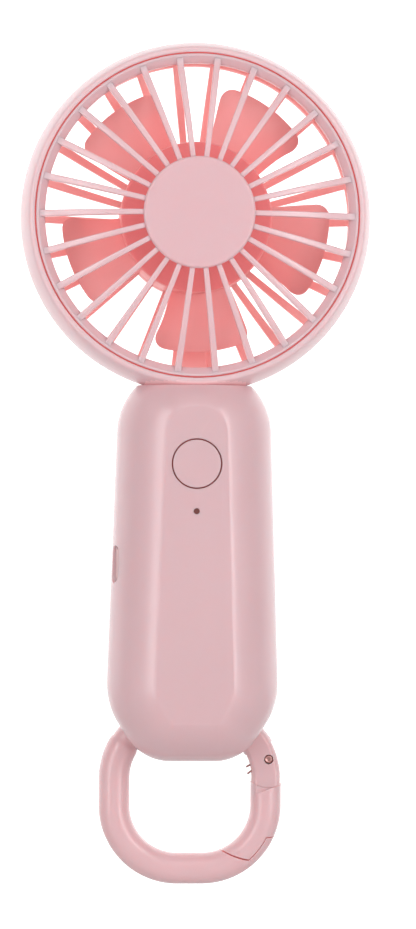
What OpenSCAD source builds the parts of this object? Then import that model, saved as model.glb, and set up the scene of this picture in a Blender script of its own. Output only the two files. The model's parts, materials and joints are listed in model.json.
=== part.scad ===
// Handheld electric fan with a carabiner at the bottom of its handle.
// Frame: origin at the centre of the hand grip, +Z from the handle to the head, -Y out of the front.

/* [Head] */
// Outer diameter of the pink head ring
head_d = 90; // [89:0.5:91]
// Height of the head's centre above the middle of the grip
head_z = 94.7; // [94.5:0.1:95]
// Diameter of the round cap at the centre of the front grille
cap_d = 28.1; // [26:0.1:29]
// Number of ribs in each grille
rib_count = 26; // [20:2:30]
// Width of a front rib
front_rib_w = 1.5; // [1.2:0.1:1.8]
// Width of a rear rib
rear_rib_w = 1.9; // [1.6:0.1:2.2]
// Width of the rear grille's wire strut
strut_w = 6.9; // [6:0.1:8]

/* [Impeller] */
// Diameter over the blade tips
impeller_d = 69; // [66:0.5:70]
// Diameter of the impeller's hub
hub_d = 38.8; // [38:0.1:39]
// Number of blades
blade_count = 5; // [3:1:6]
// Angle that one blade covers, seen from the front
blade_span = 45; // [36:1:50]
// Front-to-back depth of a blade
blade_depth = 8.6; // [7:0.1:9]

/* [Handle] */
// Length of the handle below the neck
handle_len = 96.6; // [96:0.1:97]
// Half of the handle's depth, front to back, to the untrimmed curve
half_depth = 16.5; // [16.2:0.1:16.8]
// Depth of the flat front panel in front of the grip's centre plane
panel_f = 15; // [14.8:0.1:15.2]
// Depth of the back behind the grip's centre plane
back_f = 15.5; // [15.2:0.1:15.8]
// Wall thickness of the handle shells
wall = 2; // [1.8:0.1:2.2]
// Diameter of the power button's hole
button_hole_d = 12.74; // [12.3:0.02:13]
// Radial gap around the power button
button_gap = 0.3; // [0.2:0.05:0.4]
// How far the power button travels
button_travel = 0.4; // [0.3:0.05:0.5]

/* [Battery] */
// Diameter of the lithium cell
cell_d = 18.2; // [18:0.1:18.4]
// Length of the lithium cell
cell_len = 65; // [64:0.5:65]

/* [Carabiner] */
// Radius of the carabiner's round section
loop_tube_r = 4; // [3.8:0.1:4]
// Half the width between the loop's centrelines
loop_half_w = 19.75; // [19.25:0.05:20.25]
// Half the height between the loop's centrelines
loop_half_h = 20; // [19.5:0.1:20.5]
// Centreline radius of the loop's corners
loop_corner_r = 16.5; // [16:0.1:17]
// How far the loop lies behind the grip's centre plane
loop_y = 8; // [8:0.1:8.2]

/* [Hidden] */
$fn = 64;

// Colours, close to the moulded plastics and metals
pink = [0.91, 0.76, 0.78];
coral = [0.94, 0.50, 0.50];
steel = [0.75, 0.75, 0.76];
copper = [0.80, 0.45, 0.25];

// Head ring: depths are measured forwards from the ring's parting plane
head_r = head_d / 2;
seam_r = 41;
lip_f = 11.4;
ring_back_f = 9.4;
basket_r = 42;
ring_gap = 0.05;
ring_barrel_r = 28.3;
front_dome_r = 84.8;
front_dome_f = -64.4;
front_rib_t = 2.2;
rear_dome_r = 68.5;
rear_dome_f = 49.06;
rear_rib_t = 2.2;
cap_f = 20;
cap_seat_f = 18.2;
rear_hub_r = 19.5;
rear_hub_f = -20;
cap_edge_r = 0.5;
cap_spigot_r = 3;
cap_spigot_f = 15.8;
front_hub_f = 16.4;
front_rib_in_r = 10;
front_rib_out_r = 39.6;
front_rim_r = 38.65;
rear_rib_in_r = 17.5;
rear_rib_out_r = 40.8;
rear_rim_r = 40.2;
rear_rim_f = -8.9;
basket_front_f = 9.4;
ledge_r = 39.9;
ledge_f = 8.3;
lead_r = 0.45;
hub_plate_f = -17.6;

// Impeller and motor, along the shaft
tip_r = impeller_d / 2;
hub_r = hub_d / 2;
hub_front_f = 4.3;
hub_rear_f = -12.5;
blade_front_f = 3.7;
blade_start = 35.4;
tip_corner_r = 3.5;
hub_edge_r = 0.8;
hub_wall = 1.4;
bell_wall = 0.8;
magnet_in_r = 9.75;
stator_r = 9.4;
tower_r = 3.1;
motor_board_r = 11.5;
motor_screw_at = 6.5;
bell_r = 12;
bell_top_f = 1.4;
shaft_r = 1;
bearing_r = 2.5;
bearing_len = 2.5;
running_gap = 0.03;
stator_teeth = 9;

// Handle: heights are measured from the grip's centre
bottom_z = -45;
neck_z = bottom_z + handle_len;
half_w = 21;
shoulder = [1.8, 39, 18.1];
belly = [2.8, -25, 19.2];
chin = [5.6, -31.8, 13.2];
panel_top = [38.7, 7.8];
panel_low = [-24.4, 9.5];
slices = [-0.87, -0.67, -0.4, -0.2, 0, 0.2, 0.4, 0.67, 0.87];
button_z = 31.6;
button_r = button_hole_d / 2 - button_gap;
led_z = 19.6;
port_z = 5.8;
board_front_f = 7.2;
board_back_f = 6;
port_f = 4.37;
cell_y = 3.7;
cell_low_z = -24.8;
case_bosses = [[15, 36], [-15, 36], [15, -19], [-15, -19]];
board_posts = [[7, -4], [-7, 38.5]];
neck_bosses = [[5.5, 46.4], [-5.5, 46.4]];

// Carabiner: the swing axis is the loop's top bar
pivot_z = -33.7;
loop_z = pivot_z - loop_half_h;
corner_x = loop_half_w - loop_corner_r;
corner_dz = loop_half_h - loop_corner_r;
bend_overlap = 0.3;
bend_step = 0.02;
journal_r = 3;
journal_gap = 0.05;
neck_r = 3.7;
lug_half_w = 8;
lug_low_z = -38.4;
cap_top_z = -26.4;
cut_y = 3.2;
cut_z = -28.9;
pin_x = 20.3;
pin_z = -45.1;
pin_r = 1.1;
slot_half = 1.7;
tang_half = 1.6;
cheek_half = 3;
shoulder_r = 7.4;
socket_r = 27;
gate_end_r = 26.3;
lip_r = loop_corner_r + 2;
lip_top_r = 20.4;
lip_gap = 0.2;
cap_screws = [[5, -28.3], [-5, -28.3]];

// ---------- helpers ----------

// Local z runs forwards and local y runs up, about the head's centre
module head_frame() translate([0, 0, head_z]) rotate([90, 0, 0]) children();

// An outline drawn in x and height, filled between two depths forwards of the centre plane
module slab(f0, f1) rotate([90, 0, 0]) translate([0, 0, f0]) linear_extrude(f1 - f0) children();

// A round bar or bore along the depth, at x and height
module bar(x, z, r, f0, f1) slab(f0, f1) translate([x, z]) circle(r);

// A ring about the head's axis
module ring(r_out, r_in, f0, f1) translate([0, 0, f0]) difference() {
  cylinder(r = r_out, h = f1 - f0);
  translate([0, 0, -1]) cylinder(r = r_in, h = f1 - f0 + 2);
}

// A ring along the shaft that starts at the axis
module disc(r, f0, f1) translate([0, 0, f0]) cylinder(r = r, h = f1 - f0);

// A slice of a domed shell about the head's axis: facing is 1 for the front and -1 for the rear
module dome_band(sphere_r, centre_f, thick, r_in, r_out, facing) rotate_extrude() intersection() {
  translate([0, centre_f]) difference() {
    circle(r = sphere_r, $fn = 180);
    circle(r = sphere_r - thick, $fn = 180);
  }
  translate([r_in, facing > 0 ? 0 : -22]) square([r_out - r_in, 22]);
}

// Straight spokes from the axis outwards
module spokes(w, r_out, f0, f1) for (k = [0:rib_count - 1])
  rotate([0, 0, k * 360 / rib_count]) translate([0, -w / 2, f0]) cube([r_out, w, f1 - f0]);

// A round wire through a list of points, a little thicker where it bends
module wire(points, r) for (i = [0:len(points) - 2]) {
  step = points[i + 1] - points[i];
  length = norm(step);
  translate(points[i]) {
    rotate([0, acos(step[2] / length), atan2(step[1], step[0])]) cylinder(r = r, h = length, $fn = 24);
    if (i > 0) sphere(r = r * 1.2, $fn = 24);
  }
}

// A pan-head screw whose head rests at depth f_head and whose tip points forwards
module screw(x, z, f_head, f_tip, thread_r, head_r, head_h) difference() {
  union() {
    bar(x, z, thread_r, f_head, f_tip);
    bar(x, z, head_r, f_head - head_h, f_head);
  }
  slab(f_head - head_h - 1, f_head - head_h / 2) translate([x, z]) {
    square([head_r * 1.1, head_r / 4], center = true);
    square([head_r / 4, head_r * 1.1], center = true);
  }
}

// ---------- head ----------

// Half of the barrel-shaped ring, between the basket and the outside; grow makes room around it
module ring_profile(grow, r_in, f_end) intersection() {
  translate([head_r - ring_barrel_r, 0]) circle(r = ring_barrel_r + grow, $fn = 180);
  translate([r_in, 0]) square([head_r - r_in + grow, f_end]);
}

module center_cap() color(pink) head_frame() difference() {
  union() {
    disc(cap_d / 2, cap_seat_f, cap_f - cap_edge_r);
    disc(cap_d / 2 - cap_edge_r, cap_f - cap_edge_r - 0.1, cap_f);
    translate([0, 0, cap_f - cap_edge_r]) rotate_extrude()
      translate([cap_d / 2 - cap_edge_r, 0]) circle(cap_edge_r, $fn = 32);
    disc(cap_spigot_r, cap_spigot_f, cap_seat_f);
  }
  disc(2, 15, cap_seat_f);
}

module front_grille() color(pink) head_frame() difference() {
  union() {
    intersection() {
      dome_band(front_dome_r, front_dome_f, front_rib_t, front_rib_in_r, front_rib_out_r, 1);
      spokes(front_rib_w, 40, 0, 21);
    }
    disc(cap_d / 2 - 0.4, front_hub_f, cap_seat_f);
    ring(seam_r - 0.1, front_rim_r, ledge_f + 0.1, lip_f - 0.4);
    ring(seam_r - 0.5, front_rim_r + 0.4, lip_f - 0.5, lip_f);
  }
  disc(cap_d / 2 + 0.05, cap_seat_f, 22);
  disc(cap_spigot_r + 0.05, 14, 20);
}

module front_bezel() color(pink) head_frame() rotate_extrude() {
  ring_profile(0, basket_r + ring_gap, basket_front_f + 0.1);
  intersection() {
    ring_profile(0, seam_r + 0.55, lip_f);
    translate([0, basket_front_f]) square([head_r, 4]);
  }
}

// The stem that plugs into the top of the handle, with a channel for the motor's leads
module neck_stem() difference() {
  translate([-9, 0.5, 43.6]) cube([18, 8, 10]);
  for (p = neck_bosses) bar(p[0], p[1], 0.9, -9, -2.4);
}

module lead_channel() translate([-1.7, 1.4, 42]) cube([3.4, 3.9, 12]);

module rear_housing() color(pink) difference() {
  union() {
    head_frame() rotate_extrude() mirror([0, 1]) ring_profile(0, basket_r + ring_gap, ring_back_f);
    difference() {
      neck_stem();
      head_frame() disc(basket_r + ring_gap, -12, 12);
    }
  }
  lead_channel();
}

module rear_ribs() intersection() {
  dome_band(rear_dome_r, rear_dome_f, rear_rib_t, rear_rib_in_r, rear_rib_out_r, -1);
  spokes(rear_rib_w, 42, -21, 0);
}

// The wider rib at the bottom that carries the motor's leads
module wire_strut() intersection() {
  dome_band(rear_dome_r + 0.4, rear_dome_f, 3.7, 18, 41.5, -1);
  translate([-strut_w / 2, -43, -21]) cube([strut_w, 43, 20]);
}

module strut_channel() intersection() {
  dome_band(rear_dome_r - 0.7, rear_dome_f, 1.6, 16, 43.5, -1);
  translate([-1.7, -44, -21]) cube([3.4, 44, 20.5]);
}

module rear_grille() color(coral) head_frame() difference() {
  union() {
    ring(basket_r, seam_r, rear_rim_f, basket_front_f);
    ring(seam_r + 0.5, seam_r, basket_front_f - 0.1, lip_f + 0.1);
    ring(seam_r + 0.2, ledge_r, ledge_f - 1, ledge_f);
    ring(seam_r + 0.2, rear_rim_r, rear_rim_f, -6.6);
    rear_ribs();
    disc(rear_hub_r, rear_hub_f, hub_plate_f);
    ring(rear_hub_r, 17.6, -17.7, -15.2);
    wire_strut();
  }
  strut_channel();
  for (k = [0:2]) rotate([0, 0, 30 + 120 * k]) translate([motor_screw_at, 0, -19.2]) cylinder(r = 0.9, h = 4);
}

// ---------- impeller and motor ----------

// One blade: a thin radial bar swept round the axis as it rises, trimmed to a rounded outline
module blade() intersection() {
  translate([0, 0, blade_front_f - blade_depth])
    linear_extrude(height = blade_depth, twist = -blade_span, slices = 9, segments = 4, convexity = 6)
      polygon([[hub_r - 0.6, -1], [tip_r + 1, -1.7], [tip_r + 1, 1.7], [hub_r - 0.6, 1]]);
  translate([0, 0, -8]) linear_extrude(16) blade_outline();
}

// The blade seen from the front, with rounded tip corners
module blade_outline() intersection() {
  circle(r = tip_r, $fn = 60);
  difference() {
    union() {
      rotate(3) translate([0, -2]) square([tip_r - tip_corner_r, 3]);
      rotate(blade_span / 2) polygon([[0, 0], [40, -40 * tan(blade_span / 2 - 2)],
        [40, 40 * tan(blade_span / 2 - 1)]]);
    }
    tip_corner(2.5, -1);
    tip_corner(blade_span - 2, 1);
  }
}

module tip_corner(angle, side) rotate(angle)
  translate([tip_r - tip_corner_r, -side * tip_corner_r]) difference() {
  translate([0, side > 0 ? 0 : -6]) square([6, 6]);
  circle(r = tip_corner_r, $fn = 24);
}

module impeller() color(coral) head_frame() {
  difference() {
    union() {
      disc(hub_r - hub_edge_r, hub_front_f - hub_wall, hub_front_f);
      ring(hub_r, hub_r - hub_wall, hub_rear_f, hub_front_f - hub_edge_r);
      translate([0, 0, hub_front_f - hub_edge_r]) rotate_extrude()
        translate([hub_r - hub_edge_r, 0]) circle(hub_edge_r, $fn = 32);
      ring(bell_r + 1.2, bell_r, -9, hub_front_f - 1);
      disc(3.2, bell_top_f, hub_front_f - 1);
      for (k = [0:5]) rotate([0, 0, 60 * k]) translate([bell_r + 0.6, -0.5, -8])
        cube([hub_r - bell_r - 1.2, 1, 11.5]);
    }
    disc(shaft_r, 0, 3.5);
  }
  for (k = [0:blade_count - 1]) rotate([0, 0, blade_start + k * 360 / blade_count]) blade();
}

module motor_rotor() color(steel) head_frame() difference() {
  disc(bell_r, -11, bell_top_f);
  disc(bell_r - bell_wall, -12, bell_top_f - 1);
  disc(shaft_r, -12, 4);
}

module rotor_magnet() color("dimgray") head_frame() ring(bell_r - bell_wall, magnet_in_r, -10, -3);

module motor_shaft() color(steel) head_frame() disc(shaft_r, -14, 3.5);

// One tooth of the stator, seen along the shaft, with its curved tip
module stator_tooth() {
  translate([4, -0.6]) square([5, 1.2]);
  intersection() {
    difference() {
      circle(r = stator_r);
      circle(r = stator_r - 0.8);
    }
    translate([8, -2.4]) square([2, 4.8]);
  }
}

module motor_stator() color("gray") head_frame() translate([0, 0, -9.5]) linear_extrude(5.5) difference() {
  union() {
    circle(r = 5);
    for (k = [0:stator_teeth - 1]) rotate(k * 360 / stator_teeth) stator_tooth();
  }
  circle(r = tower_r);
}

module motor_windings() color(copper) head_frame() for (k = [0:stator_teeth - 1])
  rotate([0, 0, k * 360 / stator_teeth]) difference() {
    translate([5.3, -1.35, -10.4]) cube([3.1, 2.7, 7.3]);
    translate([5, -0.62, -9.52]) cube([4, 1.24, 5.54]);
  }

module bearing(f0) color(steel) head_frame() ring(bearing_r, shaft_r + running_gap, f0, f0 + bearing_len);

module front_bearing() bearing(-3.2);

module rear_bearing() bearing(-13.5);

module motor_base() color("silver") head_frame() difference() {
  union() {
    disc(8.2, hub_plate_f, -16.4);
    disc(5, -16.5, -15.2);
    disc(tower_r, -15.3, -0.4);
  }
  disc(bearing_r, -13.5, 1);
  disc(1.5, -18, 0);
  for (k = [0:2]) rotate([0, 0, 30 + 120 * k]) translate([motor_screw_at, 0, -19]) cylinder(r = 1, h = 4);
}

module motor_board() color("darkgreen") head_frame() ring(motor_board_r, tower_r + 0.05, -15.2, -14.4);

module motor_screws() color(steel) head_frame() for (k = [0:2]) rotate([0, 0, 30 + 120 * k])
  translate([motor_screw_at, 0, 0]) difference() {
    union() {
      disc(0.9, -19.2, -16.4);
      disc(1.35, -16.4, -15.5);
    }
    translate([-1, -0.2, -15.9]) cube([2, 0.4, 1]);
  }

// Two flat leads that follow the strut, then run down the neck to the control board
module motor_lead(side) {
  head_frame() intersection() {
    dome_band(rear_dome_r - 1.1, rear_dome_f, 0.8, 10, 42, -1);
    translate([side * 0.8 - lead_r, -42.3, -21]) cube([2 * lead_r, 42, 20]);
  }
  head_frame() translate([side * 0.8 - lead_r, -11, -17.2]) cube([2 * lead_r, 2 * lead_r, 2]);
  wire([[side * 0.8, 3.1, 53], [side * 0.8, 3.1, 42.8], [side * 0.8, -5.5, 40.8]], lead_r);
}

module motor_leads() {
  color("crimson") motor_lead(1);
  color("black") motor_lead(-1);
}

module neck_screws() color(steel) for (p = neck_bosses) screw(p[0], p[1], -11.5, -2.6, 0.9, 1.7, 1.2);

// ---------- handle ----------

// How far the grip's outline has drawn in at a depth forwards of the centre plane
function draw_in(f, inset) = half_w * (1 - sqrt(1 - pow(f / half_depth, 2))) + inset;

// The six round corners of the grip's outline, drawn in by an inset
module grip_corners(inset) for (side = [-1, 1], c = [shoulder, belly, chin])
  translate([side * c[0], c[1]]) circle(r = max(c[2] - inset, 0.5), $fn = 40);

module panel_corners(inset) {
  translate([0, panel_top[0]]) circle(r = panel_top[1] - inset, $fn = 40);
  translate([0, panel_low[0]]) circle(r = panel_low[1] - inset, $fn = 40);
}

// The whole grip as one solid, all faces moved in by inset
module grip_volume(inset) hull() {
  for (s = slices) slab(s * panel_f * (1 - inset / panel_f), s * panel_f * (1 - inset / panel_f) + 0.01)
    grip_corners(draw_in(s * panel_f, inset));
  slab(panel_f - inset - 0.01, panel_f - inset) panel_corners(inset / 3);
  slab(inset - back_f, inset - back_f + 0.01) panel_corners(inset / 3 + 1.2);
}

module below_neck(z) translate([-40, -40, -60]) cube([80, 80, 60 + z]);

module behind_plane() translate([-40, 0, -60]) cube([80, 40, 130]);

module ring_seat() head_frame() {
  rotate_extrude() ring_profile(0.1, 20, lip_f + 0.1);
  rotate_extrude() mirror([0, 1]) ring_profile(0.1, 20, ring_back_f + 0.1);
}

// The space below the grip's back where the carabiner's shoulders swing
module swing_space() translate([-40, cut_y, -60]) cube([80, 40, 60 + cut_z]);

// The room inside the shells, stopping above and in front of the swing space
module grip_cavity() difference() {
  intersection() {
    grip_volume(wall);
    below_neck(neck_z - wall);
  }
  translate([-40, cut_y - wall, -60]) cube([80, 40, 60 + cut_z + wall]);
  translate([-9.5, 1, cut_z - 1]) cube([19, 20, 4.7]);
}

module grip_shell() difference() {
  intersection() {
    grip_volume(0);
    below_neck(neck_z);
  }
  grip_cavity();
  ring_seat();
}

module port_outline(h, w) rotate([0, -90, 0]) linear_extrude(6) {
  square([h - w, w], center = true);
  for (side = [-1, 1]) translate([side * (h - w) / 2, 0]) circle(d = w);
}

// Everything inside the grip's outer skin that belongs to the front shell's screw bosses and posts
module front_bosses() intersection() {
  grip_volume(0.6);
  union() {
    for (p = case_bosses) bar(p[0], p[1], 2.3, 0.02, panel_f);
    for (p = board_posts) bar(p[0], p[1], 1.9, board_front_f, panel_f);
  }
}

module handle_front() color(pink) difference() {
  union() {
    difference() {
      grip_shell();
      behind_plane();
    }
    front_bosses();
  }
  bar(0, button_z, button_hole_d / 2, 10, 20);
  bar(0, led_z, 0.76, 10, 20);
  translate([-16, -port_f, port_z]) port_outline(9.4, 3.7);
  translate([-20.1, -port_f, port_z]) port_outline(10.5, 4.4);
  for (p = case_bosses) bar(p[0], p[1], 0.95, -1, 8.2);
  for (p = board_posts) bar(p[0], p[1], 0.7, 6, 11);
}

module rear_bosses() intersection() {
  difference() {
    grip_volume(0.6);
    swing_space();
  }
  union() {
    for (p = case_bosses) bar(p[0], p[1], 2.7, -back_f, 0);
    for (p = neck_bosses) bar(p[0], p[1], 2.7, -back_f, -8.6);
  }
}

module hinge_lug() difference() {
  translate([-lug_half_w, cut_y - wall, lug_low_z])
    cube([2 * lug_half_w, loop_y - cut_y + wall, cut_z - lug_low_z + 1]);
  journal_bore();
}

module journal_bore() translate([-20, loop_y, pivot_z]) rotate([0, 90, 0])
  cylinder(r = journal_r + journal_gap, h = 40);

module handle_rear() color(pink) difference() {
  union() {
    difference() {
      intersection() {
        grip_shell();
        behind_plane();
      }
      swing_space();
    }
    rear_bosses();
    hinge_lug();
  }
  for (p = case_bosses) {
    bar(p[0], p[1], 1.1, -20, 1);
    bar(p[0], p[1], 2.1, -20, -5);
  }
  for (p = neck_bosses) {
    bar(p[0], p[1], 1.1, -20, -8);
    bar(p[0], p[1], 1.9, -20, -11.5);
  }
  translate([-9.1, -0.1, 43]) cube([18.2, 8.7, 12]);
  translate([-lug_half_w - 0.1, loop_y, lug_low_z - 1])
    cube([2 * lug_half_w + 0.2, 20, cap_top_z + 0.1 - lug_low_z + 1]);
  for (p = cap_screws) bar(p[0], p[1], 0.8, -9, -3);
  journal_bore();
}

module case_screws() color(steel) for (p = case_bosses) screw(p[0], p[1], -5, 8, 0.95, 1.9, 1.4);

module power_button() color(pink) difference() {
  union() {
    bar(0, button_z, button_r, panel_f - 2.3, panel_f + 0.1);
    bar(0, button_z, 7.4, panel_f - 3.1, panel_f - 2.15);
    bar(0, button_z, 2.2, 11.7, panel_f - 2.5);
  }
  bar(0, button_z, 4.6, 11, 11.8);
}

module switch_plunger() color("ivory") bar(0, button_z, 1.75, 10.1, 11.7);

module tact_switch() color("dimgray") difference() {
  slab(board_front_f, 10.7) translate([0, button_z]) square(6, center = true);
  bar(0, button_z, 1.8, 9.5, 12);
}

module light_pipe() color("white") {
  bar(0, led_z, 0.72, 8.2, panel_f - 0.05);
  bar(0, led_z, 1.6, panel_f - wall - 0.9, panel_f - wall - 0.05);
}

module led_chip() color("khaki") slab(board_front_f, 8) translate([0, led_z])
  square([0.9, 1.6], center = true);

module control_board() color("darkgreen") difference() {
  slab(board_back_f, board_front_f) {
    translate([-10, -8]) square([20, 49.5]);
    translate([-13.3, port_z - 6.5]) square([4, 13]);
  }
  for (p = board_posts) bar(p[0], p[1], 0.9, 5, 8);
}

module board_screws() color(steel) for (p = board_posts) screw(p[0], p[1], board_back_f, 11, 0.7, 1.4, 0.8);

module usb_shell() color(steel) difference() {
  intersection() {
    translate([-13.9, -port_f, port_z]) port_outline(8.94, 3.26);
    translate([-30, -10, -10]) cube([60, 20, 40]);
  }
  translate([-14.4, -port_f, port_z]) port_outline(8.34, 2.66);
}

module usb_tongue() color("dimgray") translate([-18.9, -port_f - 0.35, port_z - 3.35]) cube([4.5, 0.7, 6.7]);

module battery_cell() color("steelblue") translate([0, cell_y, cell_low_z])
  cylinder(d = cell_d, h = cell_len);

module battery_tabs() color("silver") for (z = [cell_low_z - 0.3, cell_low_z + cell_len])
  translate([-2.5, cell_y - 6, z]) cube([5, 9, 0.3]);

module battery_leads() {
  top_z = cell_low_z + cell_len + 0.78;
  low_z = cell_low_z - 0.78;
  color("crimson") wire([[2, 0, top_z], [3.5, -5.5, top_z]], lead_r);
  color("black") wire([[2, -1, low_z], [2.8, -6.6, low_z], [3, -8.2, low_z + 2], [3, -8.2, -9],
    [3, -7.65, -6]], lead_r);
}

// ---------- carabiner ----------

// Everything of the carabiner is drawn in x and height, about the loop's own plane
module loop_frame() translate([0, loop_y, 0]) rotate([90, 0, 0]) children();

// A quarter bend about a corner of the loop, from one angle to another
module bend(side, up, a0, a1, r) translate([side * corner_x, loop_z + up * corner_dz, 0])
  rotate([0, 0, a0]) rotate_extrude(angle = a1 - a0) translate([loop_corner_r, 0]) circle(r = r, $fn = 48);

// A straight side; it is a hair thinner than the bends and reaches a little way into them
module leg(x, z0, z1) translate([x, z0 - bend_overlap, 0]) rotate([-90, 0, 0])
  cylinder(r = loop_tube_r - bend_step, h = z1 - z0 + 2 * bend_overlap);

module loop_tube() {
  bend(-1, 1, 147, 180, loop_tube_r);
  bend(-1, -1, 180, 270, loop_tube_r);
  bend(1, -1, 270, 360, loop_tube_r);
  leg(-loop_half_w, loop_z - corner_dz, loop_z + corner_dz);
  leg(loop_half_w, loop_z - corner_dz, loop_z + corner_dz);
  translate([-corner_x - bend_overlap, loop_z - loop_half_h, 0]) rotate([0, 90, 0])
    cylinder(r = loop_tube_r - bend_step, h = 2 * (corner_x + bend_overlap));
}

module about_pin(r, half) translate([pin_x, pin_z, -half]) cylinder(r = r, h = 2 * half);

// The right-hand side of the loop, from the pin down to the socket, where the gate goes
module gate_zone() difference() {
  intersection() {
    about_pin(socket_r, 10);
    translate([3, loop_z - 30, -10]) cube([40, 40, 20]);
  }
  lip_zone(lip_r, -62, lip_top_r);
}

// Where the socket's outer lip stands past the end of the bottom bar; its top end is an arc about the
// pin, so the gate's shoulder slides past it
module lip_zone(r_in, a0, r_top) difference() {
  translate([corner_x, loop_z - corner_dz, 0]) rotate([0, 0, a0])
    rotate_extrude(angle = -a0) translate([r_in, -10]) square([10, 20]);
  about_pin(r_top, 11);
}

// The flattened end of the loop that the pin goes through, with a slot for the gate's ears
module cheeks() difference() {
  intersection() {
    bend(1, 1, -25, 44, loop_tube_r);
    translate([0, -60, -cheek_half]) cube([40, 60, 2 * cheek_half]);
    union() {
      about_pin(shoulder_r - 0.3, 10);
      translate([0, pin_z, -10]) cube([40, 20, 20]);
    }
  }
  about_pin(4.6, slot_half);
  translate([8, -60, -slot_half]) cube([30, 61 + pin_z, 2 * slot_half]);
  about_pin(pin_r, 10);
}

module journal() translate([-10.4, pivot_z, 0]) rotate([0, 90, 0]) cylinder(r = journal_r, h = 20.8);

module carabiner_frame() color(pink) loop_frame() {
  journal();
  bend(-1, 1, 115, 147.5, neck_r);
  bend(1, 1, 41, 65, neck_r);
  difference() {
    loop_tube();
    gate_zone();
  }
  cheeks();
}

module carabiner_gate() color(pink) loop_frame() difference() {
  union() {
    difference() {
      intersection() {
        union() {
          leg(loop_half_w, loop_z - corner_dz, loop_z + corner_dz);
          bend(1, -1, 290, 360, loop_tube_r);
        }
        about_pin(gate_end_r, 10);
      }
      about_pin(shoulder_r, 10);
    }
    gate_ears();
  }
  lip_zone(lip_r - lip_gap, -64, lip_top_r - lip_gap);
  gate_flats();
  about_pin(pin_r + journal_gap, 10);
}

// The gate's top is flattened like the cheeks, down to a slanted step
module gate_flats() for (z = [cheek_half, -cheek_half - 10]) translate([0, 0, z]) linear_extrude(10)
  polygon([[10, -56.5], [26, -50.7], [26, -40], [10, -40]]);

// Two thin ears that reach from the gate's shoulder up to the pin, with the spring between them
module gate_ears() difference() {
  union() {
    about_pin(2.1, tang_half);
    translate([0, 0, -tang_half]) linear_extrude(2 * tang_half)
      polygon([[pin_x - 1.9, pin_z], [pin_x + 1.9, pin_z], [22.8, pin_z - 9.4], [16.2, pin_z - 9.4]]);
  }
  about_pin(shoulder_r, 0.9);
}

module gate_pin() color(steel) loop_frame() difference() {
  about_pin(pin_r, cheek_half - 0.1);
  translate([pin_x, pin_z, cheek_half - 0.4]) cylinder(r = 0.4, h = 1);
}

module gate_spring() color(steel) loop_frame() {
  for (side = [-1, 1]) translate([pin_x, pin_z, side * 0.4]) rotate_extrude()
    translate([1.5, 0]) circle(0.25, $fn = 24);
  wire([[pin_x - 1.5, pin_z, 0.4], [14.6, -47.3, 0.4]], 0.25);
  wire([[pin_x - 1.2, pin_z - 0.9, -0.4], [15, -49.2, -0.4]], 0.25);
}

module hinge_cap() color(pink) difference() {
  union() {
    translate([-lug_half_w, loop_y, lug_low_z]) cube([2 * lug_half_w, 5.4, cap_top_z - lug_low_z]);
  }
  journal_bore();
  for (p = cap_screws) {
    bar(p[0], p[1], 1, -20, 0);
    bar(p[0], p[1], 1.7, -20, -11.8);
  }
}

module hinge_cap_screws() color(steel) for (p = cap_screws) screw(p[0], p[1], -11.8, -3, 0.8, 1.5, 1.1);

// ---------- the nodes ----------

center_cap();
front_grille();
front_bezel();
rear_housing();
rear_grille();
impeller();
motor_rotor();
rotor_magnet();
motor_shaft();
motor_stator();
motor_windings();
front_bearing();
rear_bearing();
motor_base();
motor_board();
motor_screws();
motor_leads();
neck_screws();
handle_front();
handle_rear();
case_screws();
power_button();
switch_plunger();
tact_switch();
light_pipe();
led_chip();
control_board();
board_screws();
usb_shell();
usb_tongue();
battery_cell();
battery_tabs();
battery_leads();
carabiner_frame();
carabiner_gate();
gate_pin();
gate_spring();
hinge_cap();
hinge_cap_screws();
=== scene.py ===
import json
import math

import bmesh
import bpy
from mathutils import Matrix, Vector


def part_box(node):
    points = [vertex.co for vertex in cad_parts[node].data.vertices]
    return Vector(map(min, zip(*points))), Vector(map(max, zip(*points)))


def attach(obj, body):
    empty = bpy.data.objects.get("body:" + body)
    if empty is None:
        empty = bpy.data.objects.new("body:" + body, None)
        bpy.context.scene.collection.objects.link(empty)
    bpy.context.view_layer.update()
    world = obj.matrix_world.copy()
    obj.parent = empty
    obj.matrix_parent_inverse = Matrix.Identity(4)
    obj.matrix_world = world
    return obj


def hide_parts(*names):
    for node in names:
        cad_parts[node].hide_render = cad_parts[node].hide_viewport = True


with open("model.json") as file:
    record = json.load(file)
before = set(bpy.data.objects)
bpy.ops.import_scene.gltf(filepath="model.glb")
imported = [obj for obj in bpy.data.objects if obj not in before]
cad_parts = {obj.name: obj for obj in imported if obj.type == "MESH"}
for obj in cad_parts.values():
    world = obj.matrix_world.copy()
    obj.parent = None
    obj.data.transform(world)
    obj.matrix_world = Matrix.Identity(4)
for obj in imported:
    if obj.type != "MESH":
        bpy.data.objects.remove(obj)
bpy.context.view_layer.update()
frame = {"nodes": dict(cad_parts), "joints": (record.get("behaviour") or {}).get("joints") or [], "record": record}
nodes = frame["nodes"]
joints = {joint["name"]: joint for joint in frame["joints"]}

MM = 0.001
HEAD_Z = joints["fan_spin"]["pos_m"][2] / MM
PIVOT_Z = joints["carabiner_swing"]["pos_m"][2] / MM
LOOP_Y = joints["carabiner_swing"]["pos_m"][1] / MM
PIN_X = joints["gate_open"]["pos_m"][0] / MM
PIN_Z = joints["gate_open"]["pos_m"][2] / MM
NECK_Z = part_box("handle_front")[1].z / MM
BUTTON_Z = sum(corner.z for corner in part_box("power_button")) / 2 / MM
LED_Z = sum(corner.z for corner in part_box("light_pipe")) / 2 / MM
PORT_Z = sum(corner.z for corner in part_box("usb_shell")) / 2 / MM
PORT_Y = sum(corner.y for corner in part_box("usb_shell")) / 2 / MM

# ---------------------------------------------------------------- outlines


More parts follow.
